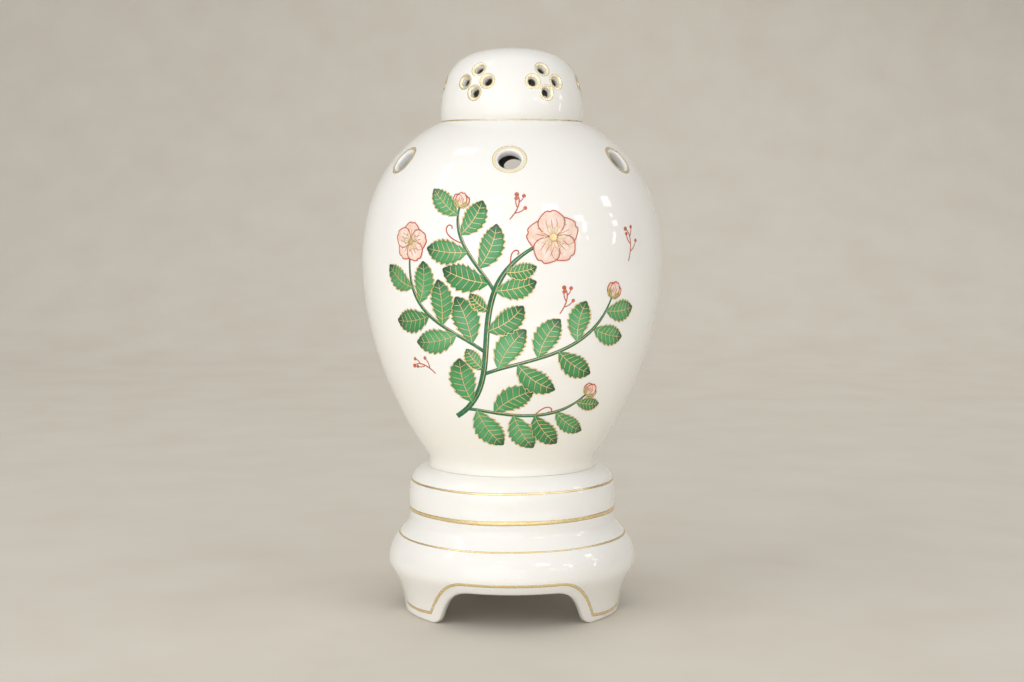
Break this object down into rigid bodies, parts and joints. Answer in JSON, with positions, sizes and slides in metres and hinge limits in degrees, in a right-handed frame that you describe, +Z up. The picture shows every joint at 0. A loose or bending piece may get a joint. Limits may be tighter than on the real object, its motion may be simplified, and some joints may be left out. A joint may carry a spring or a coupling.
{
  "type": "porcelain aroma lamp",
  "caption": "Electric porcelain aroma lamp: pierced lid over a scent dish, baluster body with shoulder vents, footed stand with a lampholder and a small screw bulb.",
  "frame": {"origin": "on the surface the feet stand on, on the lamp's axis, which is the centre of the bottom of the bounding box", "axes": "+Z up along the lamp's axis from the feet to the lid; -Y is the painted front, between two feet; +X is the right side as seen from the front"},
  "size_m": [0.1336, 0.1336, 0.25],
  "materials": {
    "stand_porcelain": "cool white glazed porcelain with gold lines",
    "body_porcelain": "warm white glazed porcelain, painted over the glaze",
    "lid_porcelain": "warm white glazed porcelain with gilt rings",
    "dish_porcelain": "white glazed porcelain",
    "holder_plastic": "dark moulded thermoset",
    "steatite": "unglazed pressed steatite",
    "contact_brass": "stamped brass",
    "plated_steel": "zinc plated steel",
    "nut_brass": "turned brass",
    "fibre": "vulcanised fibre",
    "bushing_plastic": "natural moulded nylon",
    "bulb_glass": "clear blown glass",
    "stem_glass": "clear pressed glass",
    "cap_metal": "rolled brass screw shell",
    "black_glass": "black vitrite glass",
    "solder": "tin solder",
    "tungsten": "drawn wire"
  },
  "bodies": {
    "stand": {"stand": "stand_porcelain", "holder_cap": "holder_plastic", "holder_skirt": "holder_plastic", "holder_insert": "steatite", "holder_thread_sleeve": "contact_brass", "holder_centre_contact": "contact_brass", "terminal_screw_left": "contact_brass", "terminal_screw_right": "contact_brass", "threaded_tube": "plated_steel", "upper_washer": "fibre", "lower_washer": "fibre", "lock_washer": "plated_steel", "hex_nut": "nut_brass", "cable_bushing": "bushing_plastic"},
    "bulb": {"bulb_glass": "bulb_glass", "bulb_stem": "stem_glass", "bulb_filament": "tungsten", "bulb_cap": "cap_metal", "bulb_insulator": "black_glass", "bulb_contact": "solder"},
    "vase": {"vase_body": "body_porcelain"},
    "lid": {"lid": "lid_porcelain"},
    "dish": {"scent_dish": "dish_porcelain"}
  },
  "joints": [
    {"name": "vase_lift", "type": "slide", "parent": "stand", "child": "vase", "axis": [0, 0, 1], "range_m": [0, 0.13]},
    {"name": "lid_lift", "type": "slide", "parent": "vase", "child": "lid", "axis": [0, 0, 1], "range_m": [0, 0.06]},
    {"name": "dish_lift", "type": "slide", "parent": "vase", "child": "dish", "axis": [0, 0, 1], "range_m": [0, 0.03]},
    {"name": "bulb_lift", "type": "slide", "parent": "stand", "child": "bulb", "axis": [0, 0, 1], "range_m": [0, 0.026]}
  ],
  "couplings": [
    {"joint": "dish_lift", "follows": "lid_lift", "ratio": 0.5}
  ]
}
